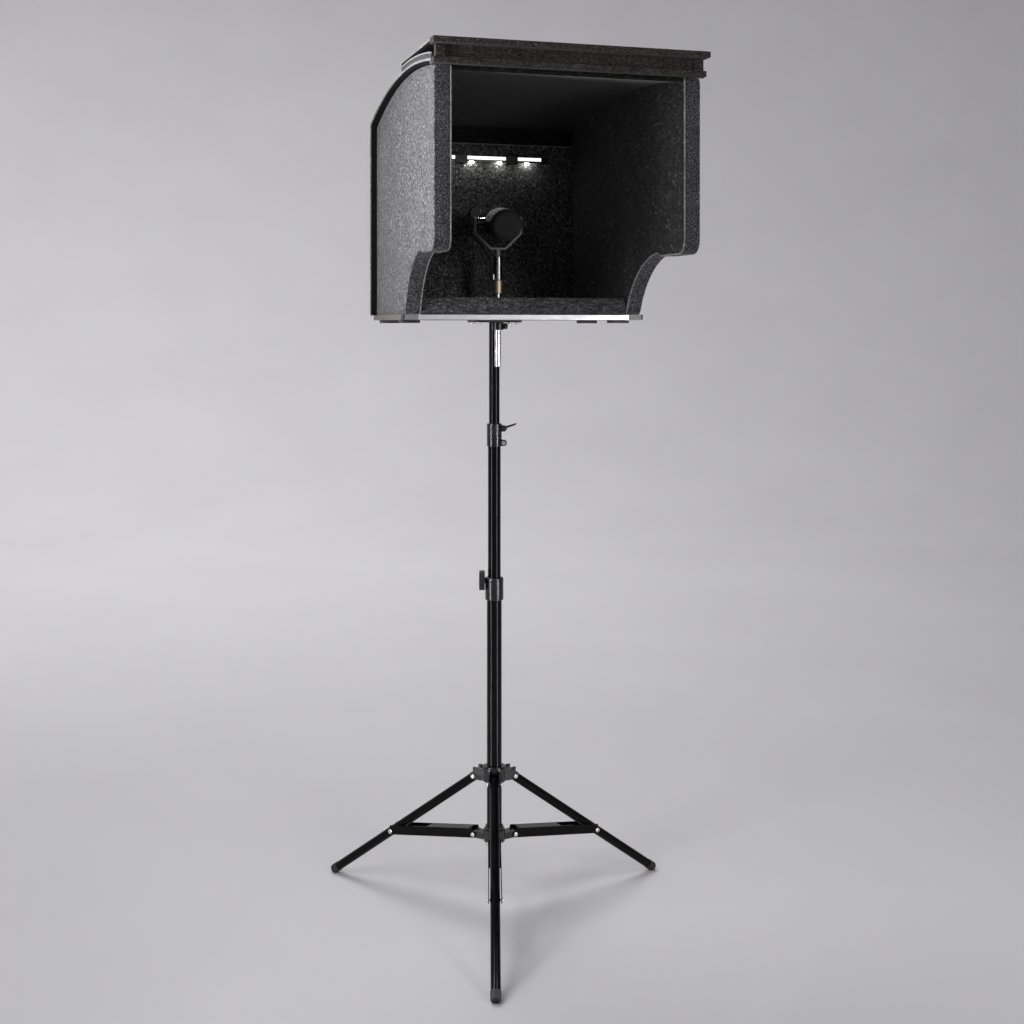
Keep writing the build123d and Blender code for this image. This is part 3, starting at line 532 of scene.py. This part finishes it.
# The ceiling liner's felt is made near black: painted shade for the shaded inside of the roof.
felt_liner_painted_shade = felt(
    "felt_liner_painted_shade", (0.001, 0.001, 0.001), (0.013, 0.013, 0.0135), (0.050, 0.050, 0.052), ALONG_X, size=200.0)
felt_floor = felt(
    "felt_floor", (0.016, 0.016, 0.017), (0.088, 0.087, 0.090), (0.24, 0.24, 0.25), ALONG_X)
felt_skin = felt(
    "felt_skin", (0.026, 0.026, 0.028), (0.095, 0.094, 0.098), (0.27, 0.27, 0.28), ALONG_X, size=330.0)
felt_pad = felt(
    "felt_pad", (0.012, 0.012, 0.013), (0.058, 0.058, 0.060), (0.15, 0.15, 0.155), ALONG_X)
rail_wrap = felt(
    "rail_wrap", (0.015, 0.014, 0.013), (0.062, 0.058, 0.055), (0.17, 0.165, 0.16), ALONG_X,
    sheen=0.05, depth=0.3 * MM, size=420.0)
# Pale felt for the seam and piping beads: partly the real piping, partly a painted highlight along the
# edges.
seam_felt_painted_highlight = felt(
    "seam_felt_painted_highlight", (0.11, 0.11, 0.115), (0.30, 0.30, 0.31), (0.55, 0.55, 0.57), sheen=0.4)
# Near-black felt put on faces that stand in shade (sides, undersides, front faces of skin and flap):
# painted shade.
painted_shade_felt = felt(
    "painted_shade_felt", (0.0015, 0.0015, 0.0016), (0.006, 0.006, 0.0065), (0.015, 0.015, 0.016), sheen=0.0)
windscreen = foam("windscreen", (0.030, 0.030, 0.031))

FINISHES = {
    "stand_tube": paint("tube_black", (0.003, 0.003, 0.0032), 0.13, 0.02 * MM, shine=0.14),
    "stand_fitting": plastic("fitting_black", (0.006, 0.006, 0.0065), 0.22, shine=0.6),
    "knob_plastic": plastic("knob_black", (0.016, 0.016, 0.017), 0.42),
    "bright_steel": metal("steel_bright", (0.74, 0.73, 0.72), 0.2, (1, 1, 0.05), 0.05, 0.004 * MM),
    "lever_steel": paint("lever_black", (0.018, 0.018, 0.019), 0.32),
    "foot_rubber": rubber("rubber_black", (0.018, 0.018, 0.0185)),
    "rail_aluminium": rail_wrap,
    "trim_aluminium": trim_bar(metal("trim_brushed", (0.43, 0.43, 0.44), 0.32, (0.05, 1, 1), 0.1)),
    "deck_board": metal("deck_edge", (0.22, 0.21, 0.197), 0.62, (1, 0.05, 1), 0.2),
    "light_metal": metal("light_housing_silver", (0.72, 0.72, 0.73), 0.3, (0.05, 1, 1)),
    "light_glow": light_strip("light_glow", (1.0, 0.985, 0.94), 1.3),
    "light_plastic": plastic("light_black", (0.012, 0.012, 0.012), 0.34),
    "mic_metal": paint("mic_black", (0.010, 0.010, 0.0105), 0.18, shine=0.8),
    "mic_mesh": mesh_wire("mic_mesh", (0.25, 0.25, 0.25)),
    "stem_steel": stem(metal("stem_steel", (0.42, 0.42, 0.43), 0.18, (1, 1, 0.05), 0.1, 0.006 * MM)),
    "collar_brass": metal("collar_brass", (0.98, 0.80, 0.60), 0.42, (1, 1, 0.2)),
    "lead_rubber": rubber("lead_black", (0.014, 0.014, 0.0145)),
}
# The yoke is painted mid-grey where the real one is black: a painted highlight standing in for its bright
# edges.
yoke_grey_painted_highlight = paint("yoke_grey_painted_highlight", (0.20, 0.20, 0.205), 0.35, shine=0.8)
lens_glow = glow("lens_glow", (1.0, 0.99, 0.90), 55.0, 600.0)


OWN_FINISHES = {
    "light_lenses": lens_glow,
    "yoke": yoke_grey_painted_highlight,
    "rail_end_blocks": rail_wrap,
    "collar_bolt": FINISHES["bright_steel"],
}


def finish_cad_nodes():
    """Each CAD node takes its slot's finish, or its own where it has one."""
    for row in frame["record"]["subparts"]:
        finish = OWN_FINISHES.get(row["node"], FINISHES.get(row["material_slot"]))
        if finish is not None:
            for place in CAD_NODES[row["node"]].material_slots:
                place.material = finish


# ---- Felt boards ------------------------------------------------------------------
SEAM_R = 1.4 * MM
SEAM_DEPTH = 1.5 * MM


def seam(name, node, test, finish, radius=SEAM_R, depth=SEAM_DEPTH):
    bead = tube_along(name, seam_line(node, test, depth), radius, finish, BOOTH)


def side_panels():
    low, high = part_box("side_panel_right")
    front = low.y + 1 * MM
    lobe_top, lobe_rear = 1240 * MM, -200 * MM
    middle_x = (low.x + high.x) / 2

    def on_open_rim(edge):
        place = middle(edge)
        return place.y < front or (place.z < lobe_top and place.y < lobe_rear)

    for name, side in (("side_panel_left", -1), ("side_panel_right", 1)):
        board = soft_board(name, name + "_felt", felt_side, edge=3.2 * MM)
        # Front faces take the darker felt copy: painted shade.
        refinish(board, felt_front_painted_shade, lambda centre, normal: abs(normal.x) <= 0.6)
        # Inner faces take the near-black felt copy: painted shade.
        refinish(board, felt_inner_painted_shade, lambda centre, normal: normal.x * side < -0.6)

        def on_inner_rim(edge):
            return middle(edge).x * side < middle_x and on_open_rim(edge)

        def on_outer_rim(edge):
            return middle(edge).x * side > middle_x and on_open_rim(edge)

        # The inner seam's pale felt is a painted highlight along the rounded front edge.
        seam(name + "_inner_seam", name, on_inner_rim, seam_felt_painted_highlight)
        seam(name + "_outer_seam", name, on_outer_rim, felt_side, 1.0 * MM)


ROOF_RADIUS, ROOF_APEX_Y = 1244 * MM, -225 * MM
CORNER_RADIUS = 66 * MM
SKIN_T = 7 * MM


def outside_of_skin(place):
    """True on the skin's outer face: nearer to its roof arc or rear plane than half its thickness."""
    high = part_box("outer_skin")[1]
    from_centre = math.hypot(place.y - ROOF_APEX_Y, place.z - (high.z - ROOF_RADIUS))
    under_roof = ROOF_RADIUS - from_centre
    before_rear = high.y - place.y
    if under_roof < 75 * MM and before_rear < 75 * MM:
        return min(under_roof, before_rear) < 25 * MM and corner_reach(place) > 62 * MM
    return min(under_roof, before_rear) < SKIN_T / 2


def corner_reach(place):
    """How far a point is from the middle of the skin's rear upper corner."""
    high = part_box("outer_skin")[1]
    centre_y = high.y - CORNER_RADIUS
    fall = ROOF_RADIUS - CORNER_RADIUS
    centre_z = high.z - ROOF_RADIUS + math.sqrt(fall ** 2 - (centre_y - ROOF_APEX_Y) ** 2)
    return math.hypot(place.y - centre_y, place.z - centre_z)


def skin():
    board = soft_board("outer_skin", "outer_skin_felt", felt_skin, edge=1.5 * MM, axes=(0,), cell=30 * MM)

    # The skin's sides, undersides and front faces take the near-black felt: painted shade.
    def in_painted_shade(centre, normal):
        return abs(normal.x) > 0.75 or normal.z < -0.2 or normal.y < -0.5

    refinish(board, painted_shade_felt, in_painted_shade)
    for side, word in ((-1, "left"), (1, "right")):

        def on_outer_corner(edge):
            return middle(edge).x * side > 200 * MM and outside_of_skin(middle(edge))

        name = f"outer_skin_{word}_piping"
        seam(name, "outer_skin", on_outer_corner, seam_felt_painted_highlight, 1.9 * MM, 0.4 * MM)


def other_boards():
    for node, finish, slot_name, edge, axes in (
        ("ceiling_liner", felt_liner_painted_shade, "liner_felt", 1.5 * MM, (0,)),
        ("back_panel", felt_wall, "panel_felt", 3.0 * MM, (0, 2)),
        ("floor_pad", felt_floor, "liner_felt", 3.0 * MM, (0, 1)),
        ("roof_pad", felt_pad, "skin_felt", 2.0 * MM, (0,)),
        ("top_flap", felt_skin, "skin_felt", 2.0 * MM, (0, 1)),
    ):
        board = soft_board(node, node + "_felt", finish, edge=edge, axes=axes)
        if node == "top_flap":
            # The flap's sides and underside take the near-black felt: painted shade.
            refinish(board, painted_shade_felt, lambda centre, normal: abs(normal.x) > 0.75 or normal.z < -0.5)


def board_piping():
    """Beads along the flap's and the roof pad's sides, and where the liner meets the back panel, in the
    pale seam felt: partly piping, partly a painted highlight.
    """
    piped = (("top_flap", "upper", 1), ("roof_pad", "upper", 1), ("roof_pad", "lower", -1))
    for side, word in ((-1, "left"), (1, "right")):
        for node, level, up in piped:

            def on_side(edge):
                return faces_both(edge, (side, 0, 0), (0, 0, up))

            name = f"{node}_{word}_{level}_piping"
            seam(name, node, on_side, seam_felt_painted_highlight, 1.3 * MM, 0.5 * MM)

    def on_top_front(edge):
        return faces_both(edge, (0, -1, 0), (0, 0, 1))

    seam("back_panel_top_seam", "back_panel", on_top_front, seam_felt_painted_highlight, 1.0 * MM, 0.5 * MM)


# ---- Brace rivets --------------------------------------------------------------------
LEG_AZIMUTHS = (254.7, 374.7, 494.7)
BRACE_JOINT_R, BRACE_JOINT_Z = 227.7 * MM, 110.3 * MM
RIVET_FACE = 12.0 * MM
RIVET_PROFILE = ((4.3, 0.0), (4.4, 0.7), (4.2, 1.3), (3.5, 1.8), (2.4, 2.1), (1.2, 2.2))


def rivet_head(name, centre, way, body):
    """A domed head turned about its own axis."""
    axis = Vector(way).normalized()
    across = axis.orthogonal().normalized()
    over = axis.cross(across)
    shape = bmesh.new()
    rings, around = [], 24
    for radius, height in RIVET_PROFILE:
        ring = []
        for k in range(around):
            turn = 2 * math.pi * k / around
            out = across * math.cos(turn) + over * math.sin(turn)
            ring.append(shape.verts.new(Vector(centre) + out * radius * MM + axis * height * MM))
        rings.append(ring)
    for inner, outer in zip(rings, rings[1:]):
        for k in range(around):
            after = (k + 1) % around
            shape.faces.new((inner[k], inner[after], outer[after], outer[k]))
    shape.faces.new(rings[-1])
    shape.faces.new(rings[0][::-1])
    mesh = bpy.data.meshes.new(name)
    shape.to_mesh(mesh)
    shape.free()
    made = new_object(name, mesh, FINISHES["bright_steel"])
    shade(made, 60)
    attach(made, body)


def brace_rivet_heads():
    for number, azimuth in enumerate(LEG_AZIMUTHS, 1):
        turn = math.radians(azimuth)
        out = Vector((math.cos(turn), math.sin(turn), 0))
        for side, word in ((-1, "right"), (1, "left")):
            way = Vector((-out.y, out.x, 0)) * side
            centre = out * BRACE_JOINT_R + way * RIVET_FACE + Vector((0, 0, BRACE_JOINT_Z))
            rivet_head(f"brace_{number}_{word}_rivet", centre, way, f"brace_{number}")


# ---- Microphone foam -----------------------------------------------------------------
def mic_windscreen():
    mesh = CAD_NODES["mic_foam"].data.copy()
    made = new_object("mic_foam_windscreen", mesh, windscreen)
    remesh = made.modifiers.new("even", "REMESH")
    remesh.mode = "VOXEL"
    remesh.voxel_size = 1.5 * MM
    smooth = made.modifiers.new("soft", "SMOOTH")
    smooth.iterations = 4
    done = evaluated_mesh(made)
    made.modifiers.clear()
    made.data = done
    for vertex in done.vertices:
        lump = noise.noise(vertex.co * 420.0) * 0.25 + noise.noise(vertex.co * 60.0) * 0.5
        vertex.co += vertex.normal * lump * MM
    shade(made, 80)
    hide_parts("mic_foam")
    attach(made, "microphone")


# ---- Studio -----------------------------------------------------------------------------
FLOOR_R, COVE_R, WALL_TOP = 4.5, 5.0, 8.0
FLOOR_STEPS, ROUND_STEPS = 12, 96


def backdrop():
    """A round studio: a pale floor that curves up into a wall."""
    profile = [(FLOOR_R * k / FLOOR_STEPS, 0.0) for k in range(1, FLOOR_STEPS + 1)]
    for k in range(1, FLOOR_STEPS + 1):
        turn = math.radians(90 * k / FLOOR_STEPS)
        profile.append((FLOOR_R + COVE_R * math.sin(turn), COVE_R * (1 - math.cos(turn))))
    profile.append((FLOOR_R + COVE_R, WALL_TOP))
    shape = bmesh.new()
    rings = []
    for radius, height in profile:
        ring = []
        for k in range(ROUND_STEPS):
            turn = 2 * math.pi * k / ROUND_STEPS
            ring.append(shape.verts.new((radius * math.cos(turn), radius * math.sin(turn), height)))
        rings.append(ring)
    centre = shape.verts.new((0, 0, 0))
    for k in range(ROUND_STEPS):
        shape.faces.new((centre, rings[0][k], rings[0][(k + 1) % ROUND_STEPS]))
    for inner, outer in zip(rings, rings[1:]):
        for k in range(ROUND_STEPS):
            after = (k + 1) % ROUND_STEPS
            shape.faces.new((inner[k], outer[k], outer[after], inner[after]))
    mesh = bpy.data.meshes.new("studio_floor")
    shape.to_mesh(mesh)
    shape.free()
    made, tree, shader = material("studio_paper")
    mottle = noise_value(tree, coordinates(tree), 1.5, 3.0)
    tone = blend_colours(tree, spread(tree, mottle, 0.3, 0.7), (0.70, 0.69, 0.72), (0.73, 0.72, 0.75))
    tree.links.new(tone, shader.inputs["Base Color"])
    shader.inputs["Roughness"].default_value = 0.9
    shader.inputs["Specular IOR Level"].default_value = 0.1
    floor = new_object("studio_floor", mesh, made)
    shade(floor, 80)


def softbox(name, place, target, size, power):
    data = bpy.data.lights.new(name, "AREA")
    data.shape = "RECTANGLE"
    data.size, data.size_y = size
    data.energy = power
    light = bpy.data.objects.new(name, data)
    place_light(light, place, target)
    return light


def place_light(light, place, target):
    light.location = place
    light.rotation_euler = (Vector(target) - Vector(place)).to_track_quat("-Z", "Y").to_euler()
    light.visible_camera = False
    bpy.context.scene.collection.objects.link(light)


SOFTBOXES = (
    ("key_left", (-0.68, -0.45, 1.43), (-0.20, -0.43, 1.40), (0.30, 0.45), 5.0),
    ("key_front", (-1.5, -0.85, 1.45), (0.1, -0.40, 1.35), (0.4, 0.8), 10.0),
    ("front_right", (1.1, -3.1, 1.7), (0.0, -0.4, 1.25), (0.6, 1.4), 18.0),
    ("over_rear", (-0.5, 3.5, 5.5), (0.0, 3.5, 0.0), (5.0, 3.0), 205.0),
    ("over_front", (-0.3, -2.2, 5.5), (-0.3, -1.6, 0.0), (4.0, 2.0), 25.0),
    ("wall_left", (-3.5, 3.0, 6.0), (-4.0, 9.0, 2.0), (4.0, 1.5), 118.0),
    ("wall_right", (2.5, 3.0, 6.0), (3.5, 9.0, 2.0), (4.0, 1.5), 40.0),
    ("wall_front", (0.0, -4.0, 6.5), (0.0, -9.5, 2.0), (6.0, 1.5), 40.0),
)
POLE_MIDDLE = (0.0, 0.0, 0.56)
POLE_STRIPS = (("pole_strip_left", (-0.58, -0.25, 0.56)), ("pole_strip_right", (0.34, -0.54, 0.56)))
BAR_GLOW_PLACE, BAR_GLOW_TARGET = (-0.01, 0.045, 1.405), (-0.012, -0.085, 1.29)


def lights():
    for row in SOFTBOXES:
        softbox(*row)
    for name, place in POLE_STRIPS:
        strip = softbox(name, place, POLE_MIDDLE, (0.04, 1.04), 4.6)
        strip.visible_diffuse = False
    lamp = bpy.data.lights.new("bar_glow", "SPOT")
    lamp.energy = 1.3
    lamp.spot_size = math.radians(42)
    lamp.spot_blend = 0.5
    lamp.shadow_soft_size = 6 * MM
    place_light(bpy.data.objects.new("bar_glow", lamp), BAR_GLOW_PLACE, BAR_GLOW_TARGET)
    world = bpy.data.worlds.new("studio")
    world.use_nodes = True
    background = world.node_tree.nodes["Background"]
    background.inputs["Color"].default_value = (0.80, 0.79, 0.82, 1.0)
    background.inputs["Strength"].default_value = 0.01
    bpy.context.scene.world = world
    bpy.context.scene.view_settings.view_transform = "Standard"


make_camera()
finish_cad_nodes()
side_panels()
skin()
other_boards()
board_piping()
brace_rivet_heads()
mic_windscreen()
backdrop()
lights()
